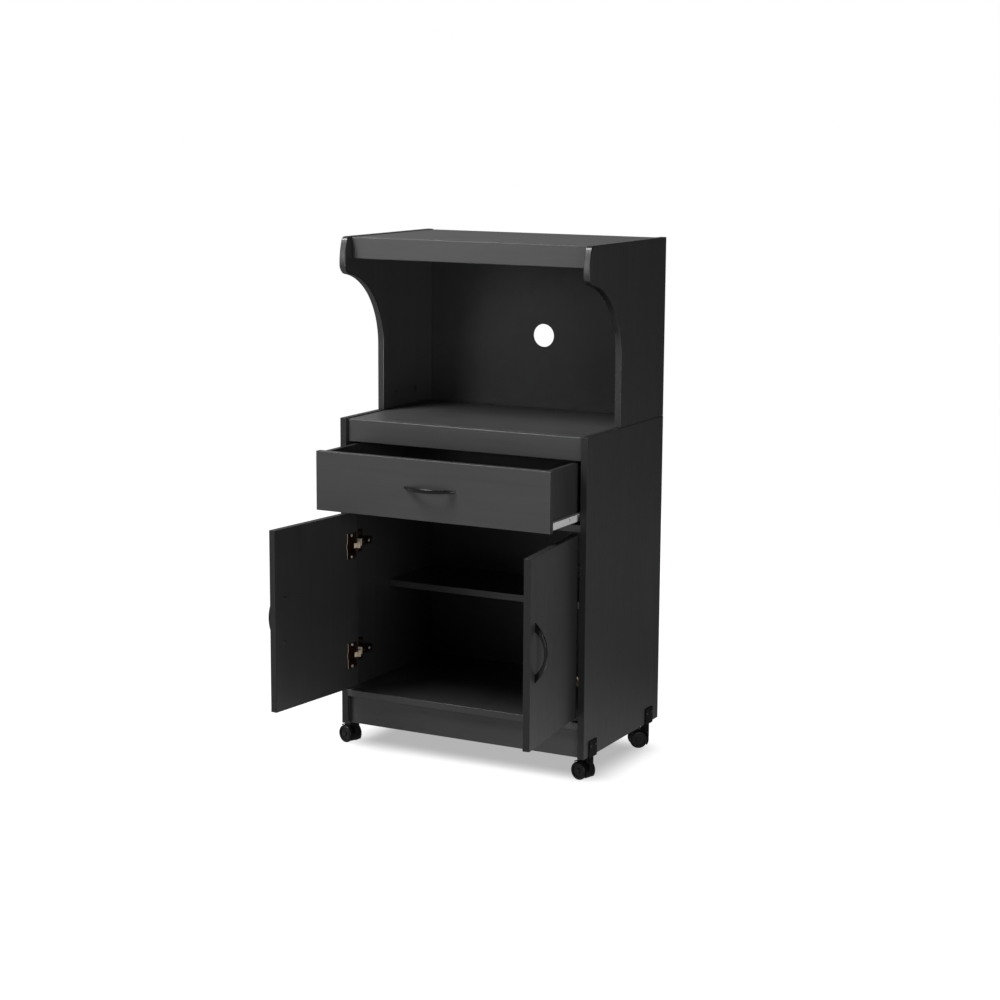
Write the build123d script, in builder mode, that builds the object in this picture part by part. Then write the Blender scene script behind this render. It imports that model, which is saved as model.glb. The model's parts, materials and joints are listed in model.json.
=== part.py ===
"""Kitchen cabinet on casters: open bay above, one drawer, two doors below. Millimetres, +Z up.

The origin is on the floor under the middle of the carcass, +X to the right, +Y to the back.
The drawer stands pulled out and both doors stand open, and each swings or slides shut from there.
Handed pieces are drawn for the left side and mirrored to the right.
"""
import os
from math import acos, degrees, sqrt

from build123d import *

os.makedirs("parts", exist_ok=True)

# Carcass boards
WIDTH = 600.0
DEPTH = 387.0
BOARD = 15.0
HARDBOARD = 3.0
LOWER_HEIGHT = 690.0
KICK_HEIGHT = 64.0
KICK_RECESS = 12.0
WORKTOP_DROP = 2.0
FASCIA_HEIGHT = 50.0
FASCIA_RECESS = 8.0
DRAWER_OPENING = 133.0
RAIL_DEPTH = 60.0
GROOVE_INSET = 4.0
GROOVE_DEPTH = 6.0
GROOVE_PLAY = 0.2

# Upper part
UPPER_HEIGHT = 394.0
UPPER_SETBACK = 161.0
SCOOP_RADIUS = 166.0
NOSE_DROP = 59.0
NOSE_ROUND = 23.0
NOSE_SLOPE = 12.0
NOSE_CORNER = 12.0
TOP_DROP = 1.5
TOP_FASCIA_HEIGHT = 46.5
TOP_FASCIA_RECESS = 28.0
CABLE_HOLE_RADIUS = 26.0
CABLE_HOLE_X = 5.0
CABLE_HOLE_RISE = 163.0

# Shelf and its pins
SHELF_SETBACK = 185.0
SHELF_CLEAR = 201.0
SHELF_PLAY = 0.8
PIN_RADIUS = 2.5
PIN_GRIP = 8.0
PIN_REACH = 8.0
PIN_FROM_EDGE = 40.0

# Cam locks and cam bolts
CAM_RADIUS = 7.5
CAM_HEIGHT = 12.0
CAM_REACH = 34.0
CAM_PLAY = 0.1
CAM_FROM_EDGE = 55.0
CAM_SLOT = 2.0
BOLT_RADIUS = 3.0
BOLT_GRIP = 11.0
BOLT_PLAY = 0.2
UPPER_BOLT_SETBACKS = (216.0, 302.0)

# Screws for the fittings
SCREW_RADIUS = 1.75
SCREW_LENGTH = 11.0
SCREW_HEAD_RADIUS = 3.4
SCREW_HEAD_HEIGHT = 1.5
SCREW_PLAY = 0.05
CORNER_SCREW_LENGTH = 34.0

# Drawer
DRAWER_PULL = 130.0
DRAWER_LENGTH = 345.0
DRAWER_BOARD = 12.0
DRAWER_GAP_SIDE = 5.0
DRAWER_GAP_BELOW = 2.5
DRAWER_GAP_ABOVE = 2.0
DRAWER_SIDE_RAISE = 4.0
DRAWER_SIDE_DROP = 2.0
DRAWER_FLOOR_RAISE = 10.0
DRAWER_GROOVE = 5.0
DRAWER_CAM_HEIGHT = 9.0
DRAWER_FIXING_SPREAD = 62.0

# Roller runners
RUNNER_SPACE = 12.5
RUNNER_LENGTH = 340.0
RUNNER_START = 2.0
RUNNER_HEIGHT = 17.0
RUNNER_STEEL = 1.2
RUNNER_LIP = 8.0
RUNNER_SCREW_SHARES = (0.25, 0.55, 0.85)
TRACK_LENGTH = 350.0
TRACK_START = 3.0
TRACK_FLANGE = 9.0
TRACK_HEADROOM = 1.8
TRACK_SCREW_SHARES = (0.2, 0.5, 0.9)
ROLLER_RADIUS = 8.0
ROLLER_WIDTH = 6.6
ROLLER_FROM_END = 14.0
ROLLER_PLAY = 0.3
ROLLER_SIDE_PLAY = 0.8
ROLLER_PIN_RADIUS = 2.5
ROLLER_FIT = 0.05

# Doors and their concealed hinges
LEFT_DOOR_OPEN = 96.6
RIGHT_DOOR_OPEN = 96.4
DOOR_GAP_SIDE = 2.5
DOOR_GAP_MIDDLE = 3.0
DOOR_GAP_BELOW = 10.0
DOOR_GAP_ABOVE = 6.5
HINGE_FROM_END = 74.0
HINGE_AXIS_IN = 9.5
HINGE_AXIS_BACK = 2.5
CUP_RADIUS = 17.5
CUP_DEPTH = 11.5
CUP_FROM_EDGE = 22.0
CUP_WALL = 1.0
CUP_PLAY = 0.1
FLANGE_THICKNESS = 1.2
FLANGE_HEIGHT = 57.0
FLANGE_NEAR = 16.0
FLANGE_FAR = 14.5
CUP_SCREW_SPREAD = 48.0
ARM_INNER_RADIUS = 15.2
ARM_STEEL = 2.0
ARM_FIRST_ANGLE = 12.0
ARM_LAST_ANGLE = 100.0
ARM_LENGTH = 55.0
ARM_HEIGHT = 13.0
LINK_THICKNESS = 3.0
LINK_WIDTH = 10.0
LINK_PLAY = 0.3
LINK_FIRST_ANGLE = 13.0
LINK_LAST_ANGLE = 65.0
PLATE_LINE = 52.0
PLATE_HEIGHT = 50.0
PLATE_WIDTH = 18.0
PLATE_WING = 3.0
PLATE_RISE = 5.5
PLATE_SADDLE_LENGTH = 40.0
PLATE_SADDLE_WIDTH = 14.0
PLATE_SCREW_SPREAD = 32.0

# Bow handles
HANDLE_LENGTH = 126.0
HANDLE_RISE = 26.0
HANDLE_THICKNESS = 5.5
HANDLE_GAP_LENGTH = 88.0
HANDLE_WIDTH = 9.0
HANDLE_TAPER_REACH = 85.0
HANDLE_ROUND = 1.8
HANDLE_SPREAD = 96.0
HANDLE_FROM_EDGE = 29.0
DRAWER_HANDLE_RAISE = 3.5
HANDLE_SCREW_RADIUS = 2.0
HANDLE_SCREW_GRIP = 9.0
HANDLE_SCREW_HEAD_RADIUS = 4.0
HANDLE_SCREW_HEAD_HEIGHT = 2.4
HANDLE_HOLE_PLAY = 0.25

# Casters: front left, front right, rear left, rear right
CASTER_HEIGHT = 56.0
CASTER_FROM_FRONT = 43.0
CASTER_FROM_BACK = 51.5
CASTER_TURNS = {"front_left": 108.0, "front_right": 106.0, "rear_left": 10.0, "rear_right": 54.0}
CASTER_TRAIL = 17.0
WHEEL_RADIUS = 20.0
WHEEL_WIDTH = 12.0
WHEEL_ROUND = 5.0
WHEEL_DISH = 2.0
WHEEL_DISH_RADIUS = 14.0
WHEEL_HUB_RADIUS = 6.0
WHEEL_PLAY = 0.5
WHEEL_CAP = 2.0
AXLE_RADIUS = 3.0
AXLE_FIT = 0.06
WEB_WIDTH = 12.0
WEB_RADIUS = 14.0
FENDER_PLAY = 1.0
FENDER_THICKNESS = 2.2
FENDER_FIRST_ANGLE = 55.0
FENDER_LAST_ANGLE = 215.0
STEM_RADIUS = 4.0
STEM_GRIP = 30.0
STEM_FIT = 0.06
STEM_SEAT = 26.0
STEM_FLOOR = 3.0
PRESS_PLAY = 0.02
BOSS_RADIUS = 8.0
BOSS_HEIGHT = 14.0
SWIVEL_PLAY = 0.3
SOCKET_RADIUS = 5.5
SOCKET_DEPTH = 32.0
SOCKET_PLAY = 0.1
BRACKET_WIDTH = 38.0
BRACKET_HEIGHT = 35.0
BRACKET_FOOT = 2.5
BRACKET_PLATE = 2.5
BRACKET_SCREW_SPREAD = 24.0
BRACKET_SCREW_HEIGHT = 24.0

# Planes that the boards share
half = WIDTH / 2
inner = half - BOARD
panel_middle = -half + BOARD / 2
front = -DEPTH / 2
back = DEPTH / 2
panel_low = CASTER_HEIGHT
panel_high = panel_low + LOWER_HEIGHT
floor_low = panel_low + KICK_HEIGHT
floor_high = floor_low + BOARD
worktop_high = panel_high - WORKTOP_DROP
worktop_low = worktop_high - BOARD
fascia_low = worktop_high - FASCIA_HEIGHT
fascia_front = front + FASCIA_RECESS
fascia_back = fascia_front + BOARD
rail_high = fascia_low - DRAWER_OPENING
rail_low = rail_high - BOARD
kick_front = front + KICK_RECESS
kick_back = kick_front + BOARD
upper_high = panel_high + UPPER_HEIGHT
top_high = upper_high - TOP_DROP
top_low = top_high - BOARD
top_fascia_low = top_high - TOP_FASCIA_HEIGHT
top_fascia_front = front + TOP_FASCIA_RECESS
top_fascia_back = top_fascia_front + BOARD
back_panel_back = back - GROOVE_INSET
back_panel_front = back_panel_back - HARDBOARD
boards_back = back_panel_front - GROOVE_PLAY
shelf_low = floor_high + SHELF_CLEAR
shelf_front = front + SHELF_SETBACK

UP = (0, 0, 1)
DOWN = (0, 0, -1)
LEFTWARD = (-1, 0, 0)
RIGHTWARD = (1, 0, 0)
FRONTWARD = (0, -1, 0)
BACKWARD = (0, 1, 0)


def slab(low, high, mode=Mode.ADD):
    """Box between two opposite corners."""
    size = [b - a for a, b in zip(low, high)]
    with Locations(low):
        Box(*size, align=(Align.MIN, Align.MIN, Align.MIN), mode=mode)


def rod(start, direction, radius, length, mode=Mode.ADD):
    """Round bar from a point along a direction."""
    with Locations(Plane(origin=start, z_dir=direction)):
        Cylinder(radius, length, align=(Align.CENTER, Align.CENTER, Align.MIN), mode=mode)


def bore(start, direction, radius, depth):
    """Round hole from a point along a direction."""
    rod(start, direction, radius, depth, mode=Mode.SUBTRACT)


def screw(seat, direction, length, radius=SCREW_RADIUS, head=(SCREW_HEAD_RADIUS, SCREW_HEAD_HEIGHT)):
    """Pan-head screw whose head stands on its seat and whose shank goes along the direction."""
    rod(seat, direction, radius, length)
    rod(seat, -Vector(direction), *head)


def ring_sector(plane, radii, angles, width, mode=Mode.ADD):
    """Slice of a ring, drawn round the plane's origin and as wide as given on both sides together."""
    first, last = angles
    with BuildSketch(plane) as slice_face:
        with BuildLine():
            inside = CenterArc((0, 0), radii[0], first, last - first)
            outside = CenterArc((0, 0), radii[1], first, last - first)
            Line(inside @ 0, outside @ 0)
            Line(inside @ 1, outside @ 1)
        make_face()
    extrude(slice_face.sketch, amount=width / 2, both=True, mode=mode)


def save(part, name):
    """Label a finished piece and write it."""
    part.label = name
    export_step(part, f"parts/{name}.step")


def save_pair(part, name):
    """Write a left-hand piece and its mirror image for the right."""
    save(part, f"left_{name}")
    save(part.mirror(Plane.YZ), f"right_{name}")


# Cam joints: where the cam is bored, which way, and where the bolt's axis runs, all as (y, z)
def flat_joint(y, under):
    """Joint of a lying board, with its cam bored upwards from the underside."""
    return (y, under), UP, (y, under + BOARD / 2)


def upright_joint(behind, z):
    """Joint of a standing board, with its cam bored forwards from the back face."""
    return (behind, z), FRONTWARD, (behind - BOARD / 2, z)


bottom_joints = [
    flat_joint(front + CAM_FROM_EDGE, floor_low),
    flat_joint(boards_back - CAM_FROM_EDGE, floor_low),
]
worktop_joints = [
    flat_joint(fascia_back + CAM_FROM_EDGE, worktop_low),
    flat_joint(boards_back - CAM_FROM_EDGE, worktop_low),
]
rail_joints = [flat_joint(front + RAIL_DEPTH / 2, rail_low)]
fascia_joints = [upright_joint(fascia_back, (fascia_low + worktop_low) / 2)]
kick_joints = [upright_joint(kick_back, (panel_low + floor_low) / 2)]
top_joints = [
    flat_joint(top_fascia_back + CAM_FROM_EDGE, top_low),
    flat_joint(boards_back - CAM_FROM_EDGE, top_low),
]
top_fascia_joints = [upright_joint(top_fascia_back, (top_fascia_low + top_low) / 2)]
lower_joints = bottom_joints + worktop_joints + rail_joints + fascia_joints + kick_joints
upper_joints = top_joints + top_fascia_joints
bolt_reach = CAM_REACH - CAM_RADIUS - CAM_PLAY
upper_bolt_places = [front + setback for setback in UPPER_BOLT_SETBACKS]


def bore_cam_joints(joints):
    """Cam and bolt holes at both ends of a board."""
    for (cam_y, cam_z), direction, (bolt_y, bolt_z) in joints:
        for side, outward in ((-1, LEFTWARD), (1, RIGHTWARD)):
            cam_x = side * (inner - CAM_REACH)
            bore((cam_x, cam_y, cam_z), direction, CAM_RADIUS + CAM_PLAY, CAM_HEIGHT + CAM_PLAY)
            bore((cam_x, bolt_y, bolt_z), outward, BOLT_RADIUS + BOLT_PLAY, CAM_REACH)


# Places of the fittings on the left side panel
drawer_front_low = rail_high + DRAWER_GAP_BELOW
drawer_front_high = fascia_low - DRAWER_GAP_ABOVE
drawer_side_low = drawer_front_low + DRAWER_SIDE_RAISE
drawer_side_high = drawer_front_high - DRAWER_SIDE_DROP
runner_high = drawer_side_low + RUNNER_HEIGHT
lip_low = runner_high - RUNNER_STEEL
track_roller_z = lip_low - ROLLER_PLAY - ROLLER_RADIUS
drawer_roller_z = track_roller_z - ROLLER_PLAY
track_floor = drawer_roller_z - ROLLER_RADIUS - ROLLER_PLAY
track_low = track_floor - RUNNER_STEEL
track_high = runner_high + TRACK_HEADROOM + RUNNER_STEEL
track_front = front + BOARD + TRACK_START
track_screw_z = (track_low + track_high) / 2
track_screw_places = [track_front + TRACK_LENGTH * share for share in TRACK_SCREW_SHARES]
door_low = floor_high + DOOR_GAP_BELOW
door_high = rail_low - DOOR_GAP_ABOVE
hinge_heights = (door_low + HINGE_FROM_END, door_high - HINGE_FROM_END)
hinge_x = -inner + HINGE_AXIS_IN
hinge_y = front + HINGE_AXIS_BACK
plate_screw_places = [
    (front + PLATE_LINE, z + end * PLATE_SCREW_SPREAD / 2) for z in hinge_heights for end in (-1, 1)
]
stem_places = (front + CASTER_FROM_FRONT, back - CASTER_FROM_BACK)
bracket_screw_places = [
    (y + end * BRACKET_SCREW_SPREAD / 2, panel_low + BRACKET_SCREW_HEIGHT)
    for y in stem_places
    for end in (-1, 1)
]
pin_places = (shelf_front + PIN_FROM_EDGE, boards_back - PIN_FROM_EDGE)
pin_z = shelf_low - PIN_RADIUS

# Lower side panels
with BuildPart() as side_panel:
    slab((-half, front, panel_low), (-inner, back, panel_high))
    slab(
        (-inner - GROOVE_DEPTH, boards_back, panel_low),
        (-inner, back_panel_back + GROOVE_PLAY, panel_high),
        mode=Mode.SUBTRACT,
    )
    for _, _, (bolt_y, bolt_z) in lower_joints:
        bore((-inner, bolt_y, bolt_z), LEFTWARD, BOLT_RADIUS, BOLT_GRIP)
    for bolt_y in upper_bolt_places:
        bore((panel_middle, bolt_y, panel_high), DOWN, BOLT_RADIUS, BOLT_GRIP)
    for pin_y in pin_places:
        bore((-inner, pin_y, pin_z), LEFTWARD, PIN_RADIUS, PIN_GRIP)
    for screw_y, screw_z in plate_screw_places:
        bore((-inner, screw_y, screw_z), LEFTWARD, SCREW_RADIUS + SCREW_PLAY, SCREW_LENGTH)
    for screw_y in track_screw_places:
        bore((-inner, screw_y, track_screw_z), LEFTWARD, SCREW_RADIUS + SCREW_PLAY, SCREW_LENGTH)
    for screw_y, screw_z in bracket_screw_places:
        bore((-half, screw_y, screw_z), RIGHTWARD, SCREW_RADIUS + SCREW_PLAY, SCREW_LENGTH)
    for stem_y in stem_places:
        bore((panel_middle, stem_y, panel_low), UP, SOCKET_RADIUS + SOCKET_PLAY, SOCKET_DEPTH + SOCKET_PLAY)
save_pair(side_panel.part, "side_panel")

# Bottom panel, kick board, worktop, worktop fascia and the rail under the drawer
with BuildPart() as bottom_panel:
    slab((-inner, front, floor_low), (inner, boards_back, floor_high))
    bore_cam_joints(bottom_joints)
save(bottom_panel.part, "bottom_panel")

with BuildPart() as kick_board:
    slab((-inner, kick_front, panel_low), (inner, kick_back, floor_low))
    bore_cam_joints(kick_joints)
save(kick_board.part, "kick_board")

with BuildPart() as worktop:
    slab((-inner, fascia_back, worktop_low), (inner, boards_back, worktop_high))
    bore_cam_joints(worktop_joints)
save(worktop.part, "worktop")

with BuildPart() as worktop_fascia:
    slab((-inner, fascia_front, fascia_low), (inner, fascia_back, worktop_high))
    bore_cam_joints(fascia_joints)
save(worktop_fascia.part, "worktop_fascia")

with BuildPart() as drawer_rail:
    slab((-inner, front, rail_low), (inner, front + RAIL_DEPTH, rail_high))
    bore_cam_joints(rail_joints)
save(drawer_rail.part, "drawer_rail")

# Back panels, slid into the grooves of the side panels
groove_reach = inner + GROOVE_DEPTH - GROOVE_PLAY
with BuildPart() as lower_back_panel:
    slab((-groove_reach, back_panel_front, floor_low), (groove_reach, back_panel_back, panel_high))
save(lower_back_panel.part, "lower_back_panel")

with BuildPart() as upper_back_panel:
    slab((-groove_reach, back_panel_front, panel_high), (groove_reach, back_panel_back, top_high))
    cable_hole = (CABLE_HOLE_X, back_panel_back, panel_high + CABLE_HOLE_RISE)
    bore(cable_hole, FRONTWARD, CABLE_HOLE_RADIUS, HARDBOARD)
save(upper_back_panel.part, "upper_back_panel")

# Upper side panels: a scooped front edge that runs into a round nose, with a brow sloping up from it
scoop_back = front + UPPER_SETBACK
scoop_center_y = scoop_back - SCOOP_RADIUS
nose_center = (front + NOSE_ROUND, upper_high - NOSE_DROP)
arc_reach = SCOOP_RADIUS + NOSE_ROUND
arc_run = nose_center[0] - scoop_center_y
scoop_center_z = nose_center[1] - sqrt(arc_reach**2 - arc_run**2)
scoop_angle = degrees(acos(arc_run / arc_reach))
with BuildPart() as upper_side_panel:
    with BuildSketch(Plane.YZ.offset(-half)) as outline:
        with BuildLine():
            scoop = CenterArc((scoop_center_y, scoop_center_z), SCOOP_RADIUS, 0, scoop_angle)
            CenterArc(nose_center, NOSE_ROUND, 180, scoop_angle)
            brow = TangentArc((front, nose_center[1]), (front + NOSE_SLOPE, upper_high), tangent=(0, 1))
            Polyline(brow @ 1, (back, upper_high), (back, panel_high), (scoop_back, panel_high), scoop @ 0)
        make_face()
        fillet(outline.vertices().sort_by_distance(brow @ 1)[0], radius=NOSE_CORNER)
    extrude(amount=BOARD)
    slab(
        (-inner - GROOVE_DEPTH, boards_back, panel_high),
        (-inner, back_panel_back + GROOVE_PLAY, upper_high),
        mode=Mode.SUBTRACT,
    )
    for _, _, (bolt_y, bolt_z) in upper_joints:
        bore((-inner, bolt_y, bolt_z), LEFTWARD, BOLT_RADIUS, BOLT_GRIP)
    for bolt_y in upper_bolt_places:
        bore((-inner, bolt_y, panel_high + CAM_REACH), LEFTWARD, CAM_RADIUS + CAM_PLAY, CAM_HEIGHT + CAM_PLAY)
        bore((panel_middle, bolt_y, panel_high), UP, BOLT_RADIUS + BOLT_PLAY, CAM_REACH)
save_pair(upper_side_panel.part, "upper_side_panel")

with BuildPart() as top_panel:
    slab((-inner, top_fascia_back, top_low), (inner, boards_back, top_high))
    bore_cam_joints(top_joints)
save(top_panel.part, "top_panel")

with BuildPart() as top_fascia:
    slab((-inner, top_fascia_front, top_fascia_low), (inner, top_fascia_back, top_high))
    bore_cam_joints(top_fascia_joints)
save(top_fascia.part, "top_fascia")


# Cam locks and bolts of the carcass
def cam(face, direction, height):
    """Cam lock set in from a face, with its screwdriver slot showing there."""
    rod(face, direction, CAM_RADIUS, height)
    slot_plane = Plane(origin=face, z_dir=direction)
    with Locations(slot_plane):
        Box(CAM_RADIUS, CAM_SLOT, CAM_SLOT, mode=Mode.SUBTRACT)


with BuildPart() as cam_locks:
    for (cam_y, cam_z), direction, _ in lower_joints + upper_joints:
        cam((-inner + CAM_REACH, cam_y, cam_z), direction, CAM_HEIGHT)
    for bolt_y in upper_bolt_places:
        cam((-inner, bolt_y, panel_high + CAM_REACH), LEFTWARD, CAM_HEIGHT)
    mirror(about=Plane.YZ)
save(cam_locks.part, "cam_locks")

with BuildPart() as cam_bolts:
    for _, _, (bolt_y, bolt_z) in lower_joints + upper_joints:
        rod((-inner - BOLT_GRIP, bolt_y, bolt_z), RIGHTWARD, BOLT_RADIUS, BOLT_GRIP + bolt_reach)
    for bolt_y in upper_bolt_places:
        rod((panel_middle, bolt_y, panel_high - BOLT_GRIP), UP, BOLT_RADIUS, BOLT_GRIP + bolt_reach)
    mirror(about=Plane.YZ)
save(cam_bolts.part, "cam_bolts")

# Half-depth shelf on four pins
with BuildPart() as shelf:
    slab(
        (-inner + SHELF_PLAY, shelf_front, shelf_low),
        (inner - SHELF_PLAY, boards_back, shelf_low + BOARD),
    )
save(shelf.part, "shelf")

with BuildPart() as shelf_pins:
    for pin_y in pin_places:
        rod((-inner - PIN_GRIP, pin_y, pin_z), RIGHTWARD, PIN_RADIUS, PIN_GRIP + PIN_REACH)
    mirror(about=Plane.YZ)
save(shelf_pins.part, "shelf_pins")


# Bow handles
def bow_handle(base):
    """Arched grip: the base plane's X runs along it and its Y points away from the board."""
    foot = HANDLE_LENGTH / 2
    gap = HANDLE_GAP_LENGTH / 2
    with BuildPart() as grip:
        with BuildSketch(base):
            with BuildLine():
                ThreePointArc((-foot, 0), (0, HANDLE_RISE), (foot, 0))
                ThreePointArc((-gap, 0), (0, HANDLE_RISE - HANDLE_THICKNESS), (gap, 0))
                Line((-foot, 0), (-gap, 0))
                Line((gap, 0), (foot, 0))
            make_face()
        extrude(amount=HANDLE_WIDTH, both=True)
        with BuildSketch(Plane(origin=base.origin, x_dir=base.x_dir, z_dir=base.y_dir)) as taper:
            with BuildLine():
                for edge in (-1, 1):
                    widest = (0, edge * HANDLE_WIDTH / 2)
                    ThreePointArc((-HANDLE_TAPER_REACH, 0), widest, (HANDLE_TAPER_REACH, 0))
            make_face()
        extrude(taper.sketch, amount=HANDLE_RISE, mode=Mode.INTERSECT)
        fillet(grip.edges().filter_by(lambda edge: edge.length > HANDLE_GAP_LENGTH), radius=HANDLE_ROUND)
        for end in (-1, 1):
            seat = base.from_local_coords((end * HANDLE_SPREAD / 2, 0, 0))
            bore(seat, base.y_dir, HANDLE_SCREW_RADIUS + SCREW_PLAY, HANDLE_SCREW_GRIP)
    return grip.part


def handle_screws(base):
    """Two screws through the board, heads on its inner face, into the feet of a handle."""
    with BuildPart() as pair:
        for end in (-1, 1):
            seat = base.from_local_coords((end * HANDLE_SPREAD / 2, -BOARD, 0))
            head = (HANDLE_SCREW_HEAD_RADIUS, HANDLE_SCREW_HEAD_HEIGHT)
            screw(seat, base.y_dir, BOARD + HANDLE_SCREW_GRIP, HANDLE_SCREW_RADIUS, head)
    return pair.part


def bore_handle_holes(base):
    """Clearance holes for a handle's screws, through the board behind the base plane."""
    for end in (-1, 1):
        face = base.from_local_coords((end * HANDLE_SPREAD / 2, 0, 0))
        bore(face, -base.y_dir, HANDLE_SCREW_RADIUS + HANDLE_HOLE_PLAY, BOARD)


# Drawer box
drawer_half = inner - RUNNER_SPACE
drawer_face = front - DRAWER_PULL
box_front = drawer_face + BOARD
box_back = box_front + DRAWER_LENGTH
drawer_floor_low = drawer_side_low + DRAWER_FLOOR_RAISE
drawer_floor_high = drawer_floor_low + HARDBOARD
drawer_inner = drawer_half - DRAWER_BOARD
drawer_side_middle = (drawer_floor_high + drawer_side_high) / 2
drawer_fixings = [drawer_side_middle + end * DRAWER_FIXING_SPREAD / 2 for end in (-1, 1)]
drawer_cam_y = box_front + CAM_REACH
drawer_bolt_x = -drawer_half + DRAWER_BOARD / 2
drawer_back_middle = box_back - DRAWER_BOARD / 2
drawer_handle_z = (drawer_front_low + drawer_front_high) / 2 + DRAWER_HANDLE_RAISE
drawer_handle_base = Plane(origin=(0, drawer_face, drawer_handle_z), x_dir=RIGHTWARD, z_dir=DOWN)
floor_reach = drawer_inner + DRAWER_GROOVE - GROOVE_PLAY
groove_bottom = drawer_floor_low - GROOVE_PLAY
groove_top = drawer_floor_high + GROOVE_PLAY

with BuildPart() as drawer_front:
    front_reach = inner - DRAWER_GAP_SIDE
    slab((-front_reach, drawer_face, drawer_front_low), (front_reach, box_front, drawer_front_high))
    slab(
        (-drawer_inner - DRAWER_GROOVE, box_front - DRAWER_GROOVE, groove_bottom),
        (drawer_inner + DRAWER_GROOVE, box_front, groove_top),
        mode=Mode.SUBTRACT,
    )
    for z in drawer_fixings:
        for side in (-1, 1):
            bore((side * drawer_bolt_x, box_front, z), FRONTWARD, BOLT_RADIUS, BOLT_GRIP)
    bore_handle_holes(drawer_handle_base)
save(drawer_front.part, "drawer_front")

runner_front = box_front + RUNNER_START
runner_screw_places = [runner_front + RUNNER_LENGTH * share for share in RUNNER_SCREW_SHARES]
runner_screw_z = (drawer_side_low + lip_low) / 2
with BuildPart() as drawer_side:
    slab((-drawer_half, box_front, drawer_side_low), (-drawer_inner, box_back, drawer_side_high))
    slab(
        (-drawer_inner - DRAWER_GROOVE, box_front, groove_bottom),
        (-drawer_inner, box_back, groove_top),
        mode=Mode.SUBTRACT,
    )
    for z in drawer_fixings:
        bore((-drawer_inner, drawer_cam_y, z), LEFTWARD, CAM_RADIUS + CAM_PLAY, DRAWER_CAM_HEIGHT + CAM_PLAY)
        bore((drawer_bolt_x, box_front, z), BACKWARD, BOLT_RADIUS + BOLT_PLAY, CAM_REACH)
        bore((-drawer_half, drawer_back_middle, z), RIGHTWARD, SCREW_RADIUS + SCREW_PLAY, DRAWER_BOARD)
    for screw_y in runner_screw_places:
        bore((-drawer_half, screw_y, runner_screw_z), RIGHTWARD, SCREW_RADIUS + SCREW_PLAY, SCREW_LENGTH)
save_pair(drawer_side.part, "drawer_side")

with BuildPart() as drawer_back:
    slab(
        (-drawer_inner, box_back - DRAWER_BOARD, drawer_floor_high + GROOVE_PLAY),
        (drawer_inner, box_back, drawer_side_high),
    )
    for z in drawer_fixings:
        for side, inward in ((-1, RIGHTWARD), (1, LEFTWARD)):
            end_face = (side * drawer_inner, drawer_back_middle, z)
            bore(end_face, inward, SCREW_RADIUS + SCREW_PLAY, CORNER_SCREW_LENGTH - DRAWER_BOARD)
save(drawer_back.part, "drawer_back")

with BuildPart() as drawer_floor:
    slab(
        (-floor_reach, box_front - DRAWER_GROOVE + GROOVE_PLAY, drawer_floor_low),
        (floor_reach, box_back, drawer_floor_high),
    )
save(drawer_floor.part, "drawer_floor")

with BuildPart() as drawer_cam_locks:
    for z in drawer_fixings:
        cam((-drawer_inner, drawer_cam_y, z), LEFTWARD, DRAWER_CAM_HEIGHT)
    mirror(about=Plane.YZ)
save(drawer_cam_locks.part, "drawer_cam_locks")

with BuildPart() as drawer_cam_bolts:
    for z in drawer_fixings:
        rod((drawer_bolt_x, box_front - BOLT_GRIP, z), BACKWARD, BOLT_RADIUS, BOLT_GRIP + bolt_reach)
    mirror(about=Plane.YZ)
save(drawer_cam_bolts.part, "drawer_cam_bolts")

with BuildPart() as drawer_screws:
    for z in drawer_fixings:
        screw((-drawer_half, drawer_back_middle, z), RIGHTWARD, CORNER_SCREW_LENGTH)
    for screw_y in runner_screw_places:
        seat = (-drawer_half - RUNNER_STEEL, screw_y, runner_screw_z)
        screw(seat, RIGHTWARD, RUNNER_STEEL + SCREW_LENGTH)
    mirror(about=Plane.YZ)
save(drawer_screws.part, "drawer_screws")

save(bow_handle(drawer_handle_base), "drawer_handle")
save(handle_screws(drawer_handle_base), "drawer_handle_screws")

# Drawer runners: an angle round the lower edge of each drawer side, with a roller at the back
runner_skin = -drawer_half - RUNNER_STEEL
runner_back = runner_front + RUNNER_LENGTH
drawer_roller_y = runner_back - ROLLER_FROM_END
drawer_roller_x = runner_skin - ROLLER_SIDE_PLAY
with BuildPart() as drawer_runners:
    slab(
        (runner_skin, runner_front, drawer_side_low - RUNNER_STEEL),
        (-drawer_half, runner_back, runner_high),
    )
    slab(
        (-drawer_half, runner_front, drawer_side_low - RUNNER_STEEL),
        (-drawer_inner, runner_back, drawer_side_low),
    )
    slab((runner_skin - RUNNER_LIP, runner_front, lip_low), (runner_skin, runner_back, runner_high))
    rod(
        (runner_skin, drawer_roller_y, drawer_roller_z),
        LEFTWARD,
        ROLLER_PIN_RADIUS,
        ROLLER_SIDE_PLAY + ROLLER_WIDTH,
    )
    for screw_y in runner_screw_places:
        bore((runner_skin, screw_y, runner_screw_z), RIGHTWARD, SCREW_RADIUS + SCREW_PLAY, RUNNER_STEEL)
    mirror(about=Plane.YZ)
save(drawer_runners.part, "drawer_runners")

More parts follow.
